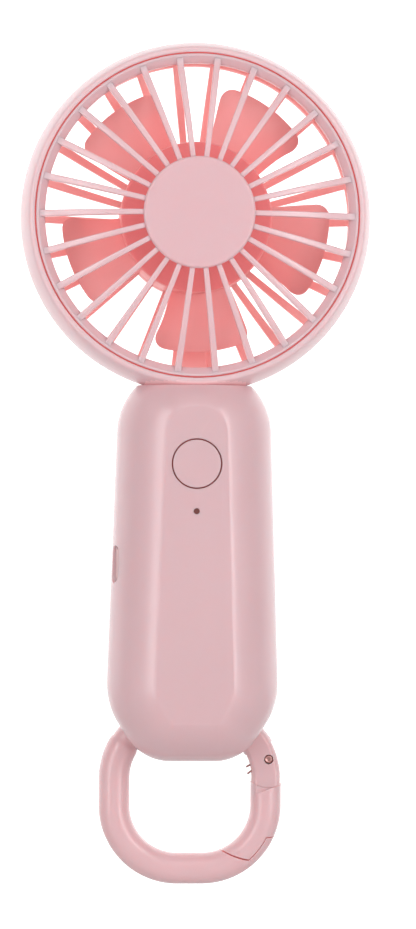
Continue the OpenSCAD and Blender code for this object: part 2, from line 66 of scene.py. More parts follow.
def arc(centre, radius, start, end, steps):
    """Points on an arc; the angles are in degrees."""
    points = []
    for step in range(steps + 1):
        angle = math.radians(start + (end - start) * step / steps)
        points.append((centre[0] + radius * math.cos(angle), centre[1] + radius * math.sin(angle)))
    return points


def fillet(corners, steps=5):
    """A closed outline from (x, y, radius) corners, each rounded by its radius."""
    outline = []
    count = len(corners)
    for index in range(count):
        here = Vector(corners[index][:2])
        radius = corners[index][2]
        if radius <= 0:
            outline.append(tuple(here))
            continue
        before = (Vector(corners[index - 1][:2]) - here).normalized()
        after = (Vector(corners[(index + 1) % count][:2]) - here).normalized()
        half = before.angle(after) / 2
        reach = radius / math.tan(half)
        centre = here + (before + after).normalized() * (radius / math.sin(half))
        first = here + before * reach - centre
        last = here + after * reach - centre
        sweep = first.angle_signed(last)
        for step in range(steps + 1):
            spoke = first.copy()
            spoke.rotate(Matrix.Rotation(-sweep * step / steps, 2))
            outline.append(tuple(centre + spoke))
    return outline


# ---------------------------------------------------------------- meshes


def make_object(name, verts, faces, sharp=32.0):
    """A smooth-shaded object whose points are given in millimetres; edges past the angle stay sharp."""
    mesh = bpy.data.meshes.new(name)
    mesh.from_pydata([tuple(c * MM for c in v) for v in verts], [], faces)
    obj = bpy.data.objects.new(name, mesh)
    bpy.context.scene.collection.objects.link(obj)
    clean(obj, sharp)
    return obj


def clean(obj, sharp=32.0):
    """Merges doubled points, turns the faces outwards and sets the shading."""
    work = bmesh.new()
    work.from_mesh(obj.data)
    bmesh.ops.remove_doubles(work, verts=work.verts, dist=2e-7)
    bmesh.ops.dissolve_degenerate(work, edges=work.edges, dist=1e-7)
    bmesh.ops.recalc_face_normals(work, faces=work.faces)
    work.to_mesh(obj.data)
    work.free()
    shade(obj, sharp)


def shade(obj, sharp=32.0):
    """Smooth shading, with edges past the angle kept sharp."""
    for polygon in obj.data.polygons:
        polygon.use_smooth = True
    obj.data.set_sharp_from_angle(angle=math.radians(sharp))


def loft(rings, close_ends=True, wrap=True):
    """Faces between rings of equal length; the ends become single faces."""
    verts = [point for ring in rings for point in ring]
    size = len(rings[0])
    faces = []
    for row in range(len(rings) - 1):
        for col in range(size if wrap else size - 1):
            nxt = (col + 1) % size
            faces.append((row * size + col, row * size + nxt, (row + 1) * size + nxt, (row + 1) * size + col))
    if close_ends:
        faces.append(tuple(range(size - 1, -1, -1)))
        faces.append(tuple(range((len(rings) - 1) * size, len(rings) * size)))
    return verts, faces


def head_point(radius, forward, angle, across=0.0):
    """A point about the head's axis: across is sideways, at right angles to the radius."""
    c, s = math.cos(angle), math.sin(angle)
    return (radius * c - across * s, -forward, HEAD_Z + radius * s + across * c)


def head_radius(point):
    """A point's distance from the head's axis."""
    return math.hypot(point.x, point.z - HEAD_Z)


def lathe(profile, steps=192):
    """A closed (radius, forward) profile turned about the head's axis."""
    rings = [[head_point(r, f, 2 * math.pi * k / steps) for r, f in profile] for k in range(steps)]
    rings.append(rings[0])
    verts, faces = loft(rings, close_ends=False)
    return verts, faces


def merge(parts):
    """Several (verts, faces) pairs as one."""
    verts, faces = [], []
    for part_verts, part_faces in parts:
        start = len(verts)
        verts.extend(part_verts)
        faces.extend(tuple(i + start for i in face) for face in part_faces)
    return verts, faces


def prism(outline, y0, y1):
    """An (x, z) outline filled between two depths."""
    return loft([[(x, y0, z) for x, z in outline], [(x, y1, z) for x, z in outline]])


def box_mesh(low, high):
    outline = [(low[0], low[2]), (high[0], low[2]), (high[0], high[2]), (low[0], high[2])]
    return prism(outline, low[1], high[1])


def apply_modifiers(obj):
    graph = bpy.context.evaluated_depsgraph_get()
    mesh = bpy.data.meshes.new_from_object(obj.evaluated_get(graph))
    obj.modifiers.clear()
    obj.data = mesh


def carve(obj, shapes, operation="DIFFERENCE"):
    """Cuts each (verts, faces) shape out of obj, or joins it on."""
    for shape in shapes:
        cutter = make_object("cutter", *shape)
        modifier = obj.modifiers.new("carve", "BOOLEAN")
        modifier.operation = operation
        modifier.solver = "EXACT"
        modifier.object = cutter
        apply_modifiers(obj)
        bpy.data.objects.remove(cutter)


def take_shape(obj):
    """An object's mesh as a (verts, faces) pair in millimetres; the object is removed."""
    verts = [tuple(c / MM for c in vertex.co) for vertex in obj.data.vertices]
    faces = [tuple(polygon.vertices) for polygon in obj.data.polygons]
    bpy.data.objects.remove(obj)
    return verts, faces


def soften(obj, width, segments=2, sharp=32.0):
    """Rounds the sharp edges by a small width in millimetres."""
    clean(obj, sharp)
    modifier = obj.modifiers.new("soften", "BEVEL")
    modifier.width = width * MM
    modifier.segments = segments
    modifier.limit_method = "ANGLE"
    modifier.angle_limit = math.radians(sharp)
    modifier.use_clamp_overlap = True
    modifier.loop_slide = True
    apply_modifiers(obj)
    shade(obj, sharp)


# ---------------------------------------------------------------- materials


def node_link(tree, source, out_name, target, in_name):
    tree.links.new(source.outputs[out_name], target.inputs[in_name])


def mix_colours(tree, first, second):
    """A colour mix between two colours; None leaves that side to be linked. Returns the node."""
    mix = tree.nodes.new("ShaderNodeMix")
    mix.data_type = "RGBA"
    for socket, colour in ((6, first), (7, second)):
        if colour is not None:
            mix.inputs[socket].default_value = (*colour, 1.0)
    return mix


def map_range(tree, **values):
    """A Map Range node; each value's name is a socket's name with _ for a space."""
    node = tree.nodes.new("ShaderNodeMapRange")
    for name, value in values.items():
        node.inputs[name.replace("_", " ")].default_value = value
    return node


def noise(tree, place, scale, detail):
    """Noise in the object's own space."""
    node = tree.nodes.new("ShaderNodeTexNoise")
    node.inputs["Scale"].default_value = scale
    node.inputs["Detail"].default_value = detail
    node_link(tree, place, "Object", node, "Vector")
    return node


def colour_nodes(tree, place, shader, base, shadow, wear):
    """Slow colour drift between two tones, and paler rubbed edges."""
    drift = noise(tree, place, 28.0, 3.0)
    spread = map_range(tree, From_Min=0.30, From_Max=0.62)
    node_link(tree, drift, "Fac", spread, "Value")
    colour = mix_colours(tree, shadow, base)
    tree.links.new(spread.outputs["Result"], colour.inputs[0])

    edge = tree.nodes.new("ShaderNodeNewGeometry")
    rub = map_range(tree, From_Min=0.53, From_Max=0.62, To_Max=wear)
    node_link(tree, edge, "Pointiness", rub, "Value")
    worn = mix_colours(tree, None, [min(1.0, c * 1.18 + 0.03) for c in base])
    tree.links.new(rub.outputs["Result"], worn.inputs[0])
    tree.links.new(colour.outputs[2], worn.inputs[6])
    tree.links.new(worn.outputs[2], shader.inputs["Base Color"])


def surface_nodes(tree, place, shader, roughness, grain, cell):
    """Fine grain, in the roughness and in the bump."""
    grit = noise(tree, place, cell, 2.0)
    rough = map_range(tree, To_Min=roughness - 0.05, To_Max=roughness + 0.07)
    node_link(tree, grit, "Fac", rough, "Value")
    node_link(tree, rough, "Result", shader, "Roughness")
    bump = tree.nodes.new("ShaderNodeBump")
    bump.inputs["Strength"].default_value = grain
    bump.inputs["Distance"].default_value = 0.00002
    node_link(tree, grit, "Fac", bump, "Height")
    node_link(tree, bump, "Normal", shader, "Normal")


def moulded(name, base, shadow, roughness=0.42, grain=0.10, wear=0.06, subsurface=0.0, coat=0.0,
            metallic=0.0, cell=1500.0, glow=0.0):
    """Moulded or finished surface: colour drift, fine grain and rubbed edges; glow is emission, which paints light
    into the surface.
    """
    material = bpy.data.materials.new(name)
    material.use_nodes = True
    tree = material.node_tree
    shader = tree.nodes["Principled BSDF"]
    shader.inputs["Metallic"].default_value = metallic
    shader.inputs["Subsurface Weight"].default_value = subsurface
    shader.inputs["Subsurface Radius"].default_value = (0.0036, 0.0013, 0.0011)
    shader.inputs["Subsurface Scale"].default_value = 1.0
    shader.inputs["Coat Weight"].default_value = coat
    shader.inputs["Coat Roughness"].default_value = 0.22
    shader.inputs["Emission Color"].default_value = (*base, 1.0)
    shader.inputs["Emission Strength"].default_value = glow
    place = tree.nodes.new("ShaderNodeTexCoord")
    colour_nodes(tree, place, shader, base, shadow, wear)
    surface_nodes(tree, place, shader, roughness, grain, cell)
    return material


GLOSSY = {"roughness": 0.36, "grain": 0.22, "subsurface": 0.35, "coat": 0.70, "cell": 2200.0}

PINK = moulded("pink_moulded", (0.705, 0.459, 0.484), (0.692, 0.447, 0.472), **GLOSSY)
PINK_LOOP = moulded("pink_loop", (0.745, 0.468, 0.488), (0.732, 0.456, 0.476), **GLOSSY)
PINK_CAP = moulded("pink_cap", (0.765, 0.484, 0.515), (0.753, 0.473, 0.503), roughness=0.36,
                   subsurface=0.35)
PINK_RIB = moulded("pink_rib", (0.760, 0.510, 0.540), (0.748, 0.498, 0.528), roughness=0.34,
                   subsurface=0.30, coat=0.60)
PINK_RING = moulded("pink_ring", (0.830, 0.548, 0.575), (0.817, 0.536, 0.562), roughness=0.36,
                    subsurface=0.35, coat=0.35)

# Light comes through the thin plastic at the seams, and it is painted in here: the faces inside a seam get a
# warmer colour, some with a painted glow, and those deep in a gap a darker red, which is painted shade.
# Painted glow: a paler pink that glows, for the faces round the neck, which lie in shade.
PINK_NECK_GLOW = moulded("pink_neck_glow", (0.850, 0.560, 0.575), (0.830, 0.545, 0.560), roughness=0.50, glow=0.10)
# Painted glow: a red that glows, for the gate's faces in the latch's gaps.
PINK_SEAM_GLOW = moulded("pink_seam_glow", (0.880, 0.340, 0.335), (0.860, 0.325, 0.320), roughness=0.50,
                    subsurface=0.2, glow=0.16)
# Painted shade: a redder pink for the frame's faces in the latch's gaps.
PINK_SOCKET_SHADE = moulded("pink_socket_shade", (0.815, 0.420, 0.418), (0.795, 0.405, 0.403), roughness=0.50,
                      subsurface=0.2)
# Painted shade with a faint painted glow, for the shoulder's crease between the gate and the cheeks.
PAINTED_SHOULDER_SHADE = moulded("painted_shoulder_shade", (0.840, 0.400, 0.395), (0.820, 0.385, 0.380), roughness=0.50, glow=0.03)
# Painted shade: a dark red for the walls of the gap round the button.
BUTTON_GAP_SHADE = moulded("button_gap_shade", (0.400, 0.080, 0.070), (0.380, 0.072, 0.064), roughness=0.55)

# The basket's inner faces are lit through from behind, which is painted as a glow on them, and its lip shows as a
# red line round the grille, painted as a darker red: painted shade.
# A faint painted glow, for light that comes through the impeller's thin plastic.
CORAL_GLOW = moulded("coral_moulded_glow", (0.930, 0.372, 0.368), (0.905, 0.354, 0.350), roughness=0.38,
                subsurface=0.15, glow=0.05)
# Painted shade with a faint painted glow: a deeper red for the hub's front round the cap.
CORAL_HUB_SHADE = moulded("coral_hub_shade", (0.930, 0.245, 0.250), (0.910, 0.230, 0.235), roughness=0.46, glow=0.05)
CORAL_BASKET = moulded("coral_basket", (1.000, 0.470, 0.455), (0.985, 0.450, 0.435), roughness=0.38,
                       subsurface=0.25)
CORAL_BACKLIT_GLOW = moulded("coral_backlit_glow", (0.930, 0.500, 0.490), (0.905, 0.480, 0.470), roughness=0.42, glow=0.17)
# Painted shade: a darker red for the lip in the groove round the grille.
CORAL_LIP_SHADE = moulded("coral_lip_shade", (0.800, 0.110, 0.105), (0.780, 0.100, 0.096), roughness=0.50)

STEEL = moulded("plated_steel", (0.55, 0.53, 0.51), (0.45, 0.43, 0.42), roughness=0.28, metallic=1.0,
                cell=900.0)
DULL_STEEL = moulded("dull_steel", (0.58, 0.33, 0.31), (0.40, 0.20, 0.18), roughness=0.30, metallic=0.85,
                     cell=900.0)
PORT_STEEL = moulded("port_steel", (0.900, 0.650, 0.650), (0.860, 0.610, 0.610), roughness=0.42, metallic=0.6)
BEARING = moulded("bearing_steel", (0.66, 0.66, 0.67), (0.58, 0.58, 0.60), roughness=0.16, metallic=1.0)
ALUMINIUM = moulded("turned_aluminium", (0.72, 0.73, 0.74), (0.64, 0.65, 0.67), roughness=0.32, metallic=1.0)
NICKEL = moulded("nickel_strip", (0.62, 0.60, 0.55), (0.54, 0.52, 0.48), roughness=0.30, metallic=1.0)
COPPER = moulded("enamelled_copper", (0.62, 0.23, 0.09), (0.48, 0.16, 0.06), roughness=0.30, metallic=0.85,
                 cell=2600.0)
MAGNET = moulded("bonded_ferrite", (0.035, 0.035, 0.038), (0.022, 0.022, 0.025), roughness=0.62)
LAMINATION = moulded("stator_coating", (0.07, 0.09, 0.13), (0.05, 0.06, 0.09), roughness=0.48)
BOARD = moulded("solder_mask", (0.015, 0.105, 0.045), (0.010, 0.080, 0.034), roughness=0.34, coat=0.3)
LEAD = moulded("lead_insulation", (0.30, 0.02, 0.02), (0.22, 0.012, 0.012), roughness=0.50)
BLACK = moulded("black_nylon", (0.018, 0.018, 0.020), (0.012, 0.012, 0.013), roughness=0.52)
LENS = moulded("smoked_light_guide", (0.170, 0.045, 0.038), (0.130, 0.032, 0.028), roughness=0.20, coat=0.4)
LED = moulded("led_resin", (0.80, 0.72, 0.42), (0.72, 0.64, 0.36), roughness=0.22, coat=0.3)
SLEEVE = moulded("cell_sleeve", (0.012, 0.075, 0.240), (0.008, 0.055, 0.190), roughness=0.26, coat=0.4)

SLOT_MATERIALS = {
    "pink_plastic": PINK,
    "coral_plastic": CORAL_GLOW,
    "steel": STEEL,
    "magnet": MAGNET,
    "lamination": LAMINATION,
    "copper_wire": COPPER,
    "bearing_steel": BEARING,
    "aluminium": ALUMINIUM,
    "circuit_board": BOARD,
    "lead_insulation": LEAD,
    "black_plastic": BLACK,
    "clear_plastic": LENS,
    "led_body": LED,
    "cell_sleeve": SLEEVE,
    "nickel": NICKEL,
}

NODE_MATERIALS = {"gate_spring": DULL_STEEL, "usb_shell": PORT_STEEL}


def dress_cad_nodes():
    """Gives every carried-over CAD node the material of its slot."""
    for entry in frame["record"]["subparts"]:
        mesh = nodes[entry["node"]].data
        mesh.materials.clear()
        material = NODE_MATERIALS.get(entry["node"], SLOT_MATERIALS[entry["material_slot"]])
        mesh.materials.append(material)


def tint_faces(obj, material, inside):
    """A second material on the faces whose middle, in millimetres, passes the test."""
    if obj.data.materials[-1] is not material:
        obj.data.materials.append(material)
    for polygon in obj.data.polygons:
        if inside(polygon.center / MM, polygon.normal):
            polygon.material_index = len(obj.data.materials) - 1


def tint_arc(obj, material, low, high, centre, ceiling=0.0):
    """Tints the latch's faces that look along the radius of a centre, at a distance from low to high."""
    def inside(point, normal):
        across, up = point.x - centre[0], point.z - centre[1]
        distance = math.hypot(across, up)
        along = abs(across * normal.x + up * normal.z) / distance
        return point.x > LATCH_X and point.z < ceiling and low < distance < high and along > 0.8

    tint_faces(obj, material, inside)


def place_piece(obj, body, material, cad_node):
    """Dresses a piece, and hands it over as the look of a CAD node on a body."""
    obj.data.materials.clear()
    obj.data.materials.append(material)
    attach(obj, body)
    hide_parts(cad_node)


# ---------------------------------------------------------------- head: rings, cap and grilles

RIBS = 26
HEAD_R = 45.0
BARREL_R = 28.3
RING_BORE_R = 42.06
PARTING_GROOVE = 0.10
STEM_HALF_W = 8.9
WIRE_HALF_W = 1.7
# Domes of the grilles, as (radius, depth of the centre).
FRONT_DOME = (84.8, -64.4)
REAR_DOME = (68.5, 49.06)
RIB_ROOT_R = 12.5
RIB_DEPTH = 2.0
REAR_RIB_ROOT_R = 18.0
REAR_RIB_DEPTH = 2.15
STRUT_SIZE = (6.9, 3.5)
BASKET_INNER_R = 40.9
CAP_R = 14.05
CAP_F = 20.0
CAP_BACK_F = 18.2
SPIGOT_BACK_F = 15.9


def barrel(forward):
    """Outer radius of the head ring at a depth from its parting plane."""
    return HEAD_R - BARREL_R + math.sqrt(BARREL_R ** 2 - forward ** 2)


def ring_outside(side, depths):
    """Half of the head ring's outside, from the fine groove at its parting plane outwards."""
    outside = [(barrel(0.0) - PARTING_GROOVE, 0.0)]
    return outside + [(barrel(depth), side * depth) for depth in depths]


def build_front_bezel():
    outer = ring_outside(1, (0.14, 1.5, 3.0, 4.5, 6.0, 7.5, 9.0, 10.0))
    crown = [(42.86, 10.75), (42.62, 11.12), (42.28, 11.32), (41.85, 11.40), (41.45, 11.40), (41.29, 11.30)]
    inner = [(41.27, 11.20), (41.27, 10.85), (41.45, 10.75), (41.45, 9.5), (RING_BORE_R, 9.5),
             (RING_BORE_R, 0.0)]
    obj = make_object("front_bezel_ring", *lathe(outer + crown + inner, 256), sharp=50)
    place_piece(obj, "fan_body", PINK_RING, "front_bezel")
    # Painted glow on the ring's faces that look down on the neck, in place of their shade.
    tint_faces(obj, PINK_NECK_GLOW, faces_neck)


def faces_neck(point, normal):
    """Whether a face of the head ring looks down on the handle's neck."""
    return point.z < NECK_Z + 1.0 and abs(point.x) < 13 and normal.z < -0.5


def build_rear_housing():
    outer = ring_outside(-1, (0.14, 1.5, 3.0, 4.5, 6.0, 7.5, 8.6))
    crown = [(43.55, -9.05), (43.20, -9.32), (42.75, -9.40), (42.20, -9.36)]
    inner = [(RING_BORE_R, -9.2), (RING_BORE_R, 0.0)]
    obj = make_object("rear_ring", *lathe(outer + crown + inner, 256), sharp=50)
    stem = box_mesh((-STEM_HALF_W, 0.6, 43.7), (STEM_HALF_W, 8.4, HEAD_Z - 42.6))
    carve(obj, [stem], "UNION")
    wire_way = box_mesh((-WIRE_HALF_W, 1.4, 42.0), (WIRE_HALF_W, 5.3, HEAD_Z - 41.0))
    carve(obj, [wire_way])
    soften(obj, 0.12, 2, 50)
    place_piece(obj, "fan_body", PINK_RING, "rear_housing")


def build_center_cap():
    profile = [(0.0, CAP_F - 0.06), (6.0, CAP_F - 0.02), (11.0, CAP_F), (13.0, CAP_F - 0.02)]
    profile += arc((CAP_R - 0.75, CAP_F - 0.77), 0.75, 90, 0, 6)
    profile += [(CAP_R, CAP_BACK_F + 0.15), (CAP_R - 0.15, CAP_BACK_F), (3.0, CAP_BACK_F)]
    profile += [(2.9, SPIGOT_BACK_F), (0.0, SPIGOT_BACK_F)]
    obj = make_object("center_cap_disc", *lathe(profile, 160), sharp=40)
    place_piece(obj, "fan_body", PINK_CAP, "center_cap")


def rib_section(width, depth, corner):
    """A rounded rectangle across a rib: (across, along the rib's depth) pairs."""
    a, b = width / 2, depth / 2
    return fillet([(a, -b, corner), (a, b, corner), (-a, b, corner), (-a, -b, corner)], steps=3)


def rib(angle, stations, corner=0.28):
    """One rib through stations of (radius, forward, width, depth) measured at its middle."""
    rings = []
    for index, (radius, forward, width, depth) in enumerate(stations):
        before = stations[max(index - 1, 0)]
        after = stations[min(index + 1, len(stations) - 1)]
        along = Vector((after[0] - before[0], after[1] - before[1])).normalized()
        normal = Vector((-along.y, along.x))
        ring = []
        for across, up in rib_section(width, depth, corner):
            ring.append(head_point(radius + normal.x * up, forward + normal.y * up, angle, across))
        rings.append(ring)
    return loft(rings)


def front_rib_stations(steps=12):
    """Stations of a front rib: under the cap's edge, over the dome, and down into the rim."""
    stations = []
    for step in range(steps + 1):
        radius = RIB_ROOT_R + (38.0 - RIB_ROOT_R) * step / steps
        top = FRONT_DOME[1] + math.sqrt(FRONT_DOME[0] ** 2 - radius ** 2)
        depth = RIB_DEPTH
        if radius < CAP_R + 0.2:
            top = min(top, CAP_BACK_F - 0.05)
            depth = RIB_DEPTH - 0.4
        stations.append((radius, top - depth / 2, 1.28 + 0.34 * step / steps, depth))
    stations += [(38.9, 10.15, 1.66, 1.95), (39.9, 10.20, 1.70, 1.75), (40.55, 10.18, 1.72, 1.60)]
    return stations


def build_front_grille():
    stations = front_rib_stations()
    parts = [rib(2 * math.pi * k / RIBS, stations) for k in range(RIBS)]
    rim = fillet([(38.66, 8.42, 0.15), (40.98, 8.42, 0.1), (40.98, 11.38, 0.18), (40.40, 11.38, 0.25),
                  (38.95, 10.05, 0.5), (38.66, 9.70, 0.2)], 4)
    parts.append(lathe(rim, 256))
    seat_f = CAP_BACK_F - 0.05
    hub = [(3.05, 16.45), (13.3, 16.45), (13.75, 16.8), (13.85, 17.6), (13.70, seat_f), (3.05, seat_f)]
    parts.append(lathe(hub, 128))
    obj = make_object("front_grille_guard", *merge(parts), sharp=38)
    place_piece(obj, "fan_body", PINK_RIB, "front_grille")


def rear_dome(radius):
    """Depth of the rear ribs' middle line at a radius."""
    return REAR_DOME[1] - math.sqrt((REAR_DOME[0] - 1.1) ** 2 - radius ** 2)


def rear_rib_stations(steps=14):
    """Stations of a rear rib, from the hub's disc over the dome to the wall."""
    stations = []
    for step in range(steps + 1):
        radius = REAR_RIB_ROOT_R + (40.85 - REAR_RIB_ROOT_R) * step / steps
        stations.append((radius, rear_dome(radius), 1.65 + 0.5 * step / steps, REAR_RIB_DEPTH))
    return stations


def basket_wall():
    """The basket's wall: its inside with the ledge, its turned-in rear rim, its outside, and its lip."""
    inside = [(41.01, 11.42), (41.01, 8.35), (39.95, 8.28), (39.95, 7.35), (41.0, 7.3), (41.0, -6.55)]
    rim = [(40.4, -6.65), (40.22, -7.0), (40.22, -8.6), (40.4, -8.88), (41.7, -8.88), (41.98, -8.6)]
    lip = [(41.98, 9.3), (41.42, 9.4), (41.42, 10.6), (41.24, 10.7), (41.24, 11.42), (41.19, 11.49),
           (41.06, 11.49)]
    return inside + rim + lip


def build_rear_grille():
    stations = rear_rib_stations()
    parts = [rib(2 * math.pi * k / RIBS, stations, 0.35) for k in range(RIBS)]
    strut = [(station[0], station[1] + 0.25, *STRUT_SIZE) for station in stations]
    parts.append(rib(math.radians(270), strut, 0.5))
    parts.append(lathe(basket_wall(), 256))
    hub = fillet([(0.0, -17.62, 0), (17.5, -17.62, 0.3), (17.6, -15.3, 0.2), (19.4, -15.3, 0.5),
                  (19.48, -19.98, 1.1), (0.0, -19.98, 0)], 5)
    parts.append(lathe(hub, 160))
    obj = make_object("rear_grille_basket", *merge(parts), sharp=38)
    place_piece(obj, "fan_body", CORAL_BASKET, "rear_grille")
    # Painted glow on the basket's faces that look forward, for light through them from behind.
    tint_faces(obj, CORAL_BACKLIT_GLOW, lambda p, n: n.y < 0.25 and head_radius(p) < BASKET_INNER_R)
    # Painted shade: the lip in the groove round the grille gets the darker red.
    tint_faces(obj, CORAL_LIP_SHADE, lambda p, n: p.y < -9.6)


# ---------------------------------------------------------------- impeller

BLADES = 5
TIP_R = 34.4
HUB_R = 19.4
HUB_F = 4.3
SHAFT_HOLE_R = 1.02
BLADE_FRONT = 3.5
BLADE_REAR = -4.7
# Degrees round the head: a blade's two edges at its root, and its tip's width.
BLADE_LOW = 35.4
BLADE_HIGH = 80.2
BLADE_SPAN = 44.5


def blade_edge_angles(radius):
    """Low and high angles of a blade at a radius, in degrees; the low edge is hollow."""
    share = (radius - HUB_R) / (TIP_R - HUB_R)
    hollow = 1.6 * math.sin(math.pi * min(max(share, 0.0), 1.0) * 0.9)
    return BLADE_LOW + hollow - 1.9 * max(share, 0.0) ** 2, BLADE_HIGH - 1.6 * share


def tip_drop(distance, corner):
    """How far the tip is drawn in at a distance along it from a corner."""
    if distance >= corner:
        return 0.0
    return corner - math.sqrt(max(corner ** 2 - (corner - distance) ** 2, 0.0))


def blade_point(u, v):
    """The middle of the blade: u runs from root to tip and v from the low edge to the high edge."""
    width = math.radians(BLADE_SPAN) * TIP_R
    drop = tip_drop(v * width, 4.2) + tip_drop((1 - v) * width, 3.4)
    radius = HUB_R - 0.8 + u * (TIP_R - drop - HUB_R + 0.8)
    low, high = blade_edge_angles(radius)
    angle = math.radians(low + (high - low) * v)
    lean = 1.0 - 0.18 * u
    forward = (BLADE_REAR + BLADE_FRONT) / 2 + lean * (v - 0.5) * (BLADE_FRONT - BLADE_REAR)
    forward += 0.75 * math.sin(math.pi * v)
    return radius, forward, angle


def blade(turn, rows=18, cols=34):
    """One blade as rings from root to tip: along its front, and back along its rear."""
    rings = []
    for row in range(rows + 1):
        u = row / rows
        front, back = [], []
        for col in range(cols + 1):
            v = 0.5 - 0.5 * math.cos(math.pi * col / cols)
            radius, forward, angle = blade_point(u, v)
            rim = min(1.0, 8 * v, 8 * (1 - v), 6 * (1 - u) + 0.02)
            half = (0.62 - 0.22 * u) * (0.35 + 0.65 * math.sqrt(max(rim, 0.0)))
            front.append(head_point(radius, forward + half, angle + turn))
            back.append(head_point(radius, forward - half, angle + turn))
        rings.append(front + back[::-1])
    return loft(rings)


def impeller_hub():
    """The hub's cup: its front and round edge, its skirt, and inside it the collar for the rotor's bell."""
    skirt, web = -12.48, 2.8
    cup = [(SHAFT_HOLE_R, HUB_F - 1.2), (SHAFT_HOLE_R, HUB_F - 0.5), (1.5, HUB_F - 0.04), (2.2, HUB_F)]
    cup += [(16.0, HUB_F)] + arc((HUB_R - 0.8, HUB_F - 0.8), 0.8, 90, 0, 7)
    cup += [(HUB_R, skirt + 0.28), (HUB_R - 0.3, skirt), (HUB_R - 1.1, skirt), (HUB_R - 1.4, skirt + 0.28)]
    cup += [(HUB_R - 1.4, web), (13.2, web), (13.2, -8.9), (12.02, -8.9), (12.02, web), (3.2, web)]
    return cup + [(3.2, 1.5), (SHAFT_HOLE_R, 1.5)]


def hub_front(point, normal):
    """Whether a face lies on the hub's front, inside its round edge."""
    return head_radius(point) < HUB_R - 0.3 and point.y < -HUB_F + 0.9


def build_impeller():
    parts = [blade(math.radians(k * 360 / BLADES)) for k in range(BLADES)]
    parts.append(lathe(impeller_hub(), 192))
    obj = make_object("impeller_fan", *merge(parts), sharp=40)
    place_piece(obj, "spinning_set", CORAL_GLOW, "impeller")
    # Painted shade: the hub's front gets the deeper red.
    tint_faces(obj, CORAL_HUB_SHADE, hub_front)


# ---------------------------------------------------------------- handle

HALF_W = 21.0
HALF_DEPTH = 16.5
PANEL_F = 15.0
BACK_F = 15.5
BUTTON_R = 6.07
BUTTON_HOLE_R = 6.37
LED_HOLE_R = 0.76
JOURNAL_R = 3.05
WALL = 2.0
PARTING_EDGE = 0.14
# Corner circles of the grip's outline, as (x, z, radius); each counts on the left and on the right.
SHOULDER = (1.8, 39.0, 18.1)
BELLY = (2.8, -25.0, 19.2)
CHIN = (5.6, -31.8, 13.2)
PANEL_BOW_UP = 1.3
PANEL_BOW_DOWN = 2.3
OUTLINE_STEPS = 200
# The room in which the carabiner swings: behind CUT_Y and below CUT_Z, with a lug in its middle.
CUT_Y = 3.2
CUT_Z = -28.9
LUG_X = 8.0
LUG_LOW_Z = -38.4
CAP_TOP_Z = -26.4
CAP_BACK_Y = 13.38
CAP_SCREW_X = 5.0
CAP_SCREW_Z = -28.3
# Beyond the handle's sides, its back and its lower end, for cutters.
BEYOND = 40.0
BELOW = -60.0


def grip_outline(inset, forward):
    """The grip's outline drawn in by an inset: the outermost corner circle in each direction."""
    ring = []
    for step in range(OUTLINE_STEPS):
        angle = 2 * math.pi * (step + 0.5) / OUTLINE_STEPS
        nx, nz = math.cos(angle), math.sin(angle)
        best = None
        for cx, cz, radius in (SHOULDER, BELLY, CHIN):
            corner_x = math.copysign(cx, nx)
            reach = corner_x * nx + cz * nz + radius
            if best is None or reach > best[0]:
                best = (reach, corner_x, cz, radius)
        radius = max(best[3] - inset, 0.15)
        ring.append((best[1] + radius * nx, -forward, best[2] + radius * nz))
    return ring


def bow_ends(ring, share):
    """Bows a ring's upper and lower ends outwards, by a share of the panel's own bow."""
    half_width = max(x for x, _, _ in ring)
    middle = BELLY[1] / 2 + SHOULDER[1] / 2
    bowed = []
    for x, y, z in ring:
        lift = PANEL_BOW_UP if z > middle else -PANEL_BOW_DOWN
        bowed.append((x, y, z + lift * share * (1 - (x / half_width) ** 2)))
    return bowed


def half_shell(side, flat_f, wall):
    """Rings from the parting plane up to the flat panel, for the outside (wall 0) or the inside."""
    outside = wall == 0
    depth = HALF_DEPTH - wall
    flat = flat_f - wall
    top = math.asin(min(flat / depth, 0.999))
    rings = [grip_outline(wall, 0.0)]
    if outside:
        rings = [grip_outline(PARTING_EDGE, 0.0), grip_outline(0.0, side * (PARTING_EDGE + 0.02))]
    steps = 22 if outside else 9
    for step in range(1, steps + 1):
        angle = top * step / steps
        inset = HALF_W * (1 - math.cos(angle)) + wall
        rings.append(grip_outline(inset, side * depth * math.sin(angle)))
    last = HALF_W * (1 - math.cos(top)) + wall
    rings[-1] = grip_outline(last - 0.10, side * (flat - 0.035))
    rings.append(grip_outline(last + 0.16, side * flat))
    if outside:
        rings.append(grip_outline(last + 0.50, side * flat))
    if outside and side > 0:
        rings = [bow_ends(ring, min(1.0, row / (steps + 1)) ** 3) for row, ring in enumerate(rings)]
    return rings


def shell_mesh(side, flat_f):
    """A half shell as a closed solid: outside, inside, and the wall's edge at the parting plane."""
    outer = half_shell(side, flat_f, 0)
    inner = half_shell(side, flat_f, WALL)
    inner = [[(x, y, min(z, NECK_Z - WALL)) for x, y, z in ring] for ring in inner]
    return loft(outer[::-1] + inner)


def trim_neck(obj):
    """Cuts the shell level at the neck and closes the cut."""
    work = bmesh.new()
    work.from_mesh(obj.data)
    geometry = work.verts[:] + work.edges[:] + work.faces[:]
    cut = bmesh.ops.bisect_plane(work, geom=geometry, plane_co=(0, 0, NECK_Z * MM), plane_no=(0, 0, 1),
                                 clear_outer=True)
    edges = [item for item in cut["geom_cut"] if isinstance(item, bmesh.types.BMEdge)]
    bmesh.ops.holes_fill(work, edges=edges, sides=0)
    bmesh.ops.recalc_face_normals(work, faces=work.faces)
    work.to_mesh(obj.data)
    work.free()


def ring_seat():
    """The head ring's envelope with a little room, as a cutter."""
    profile = [(20.0, -9.5)]
    profile += [(barrel(abs(f)) + 0.06, f) for f in (-9.5, -7, -4, -2, 0, 2, 4, 7, 9, 11.5)]
    profile += [(20.0, 11.5)]
    return lathe(profile, 256)


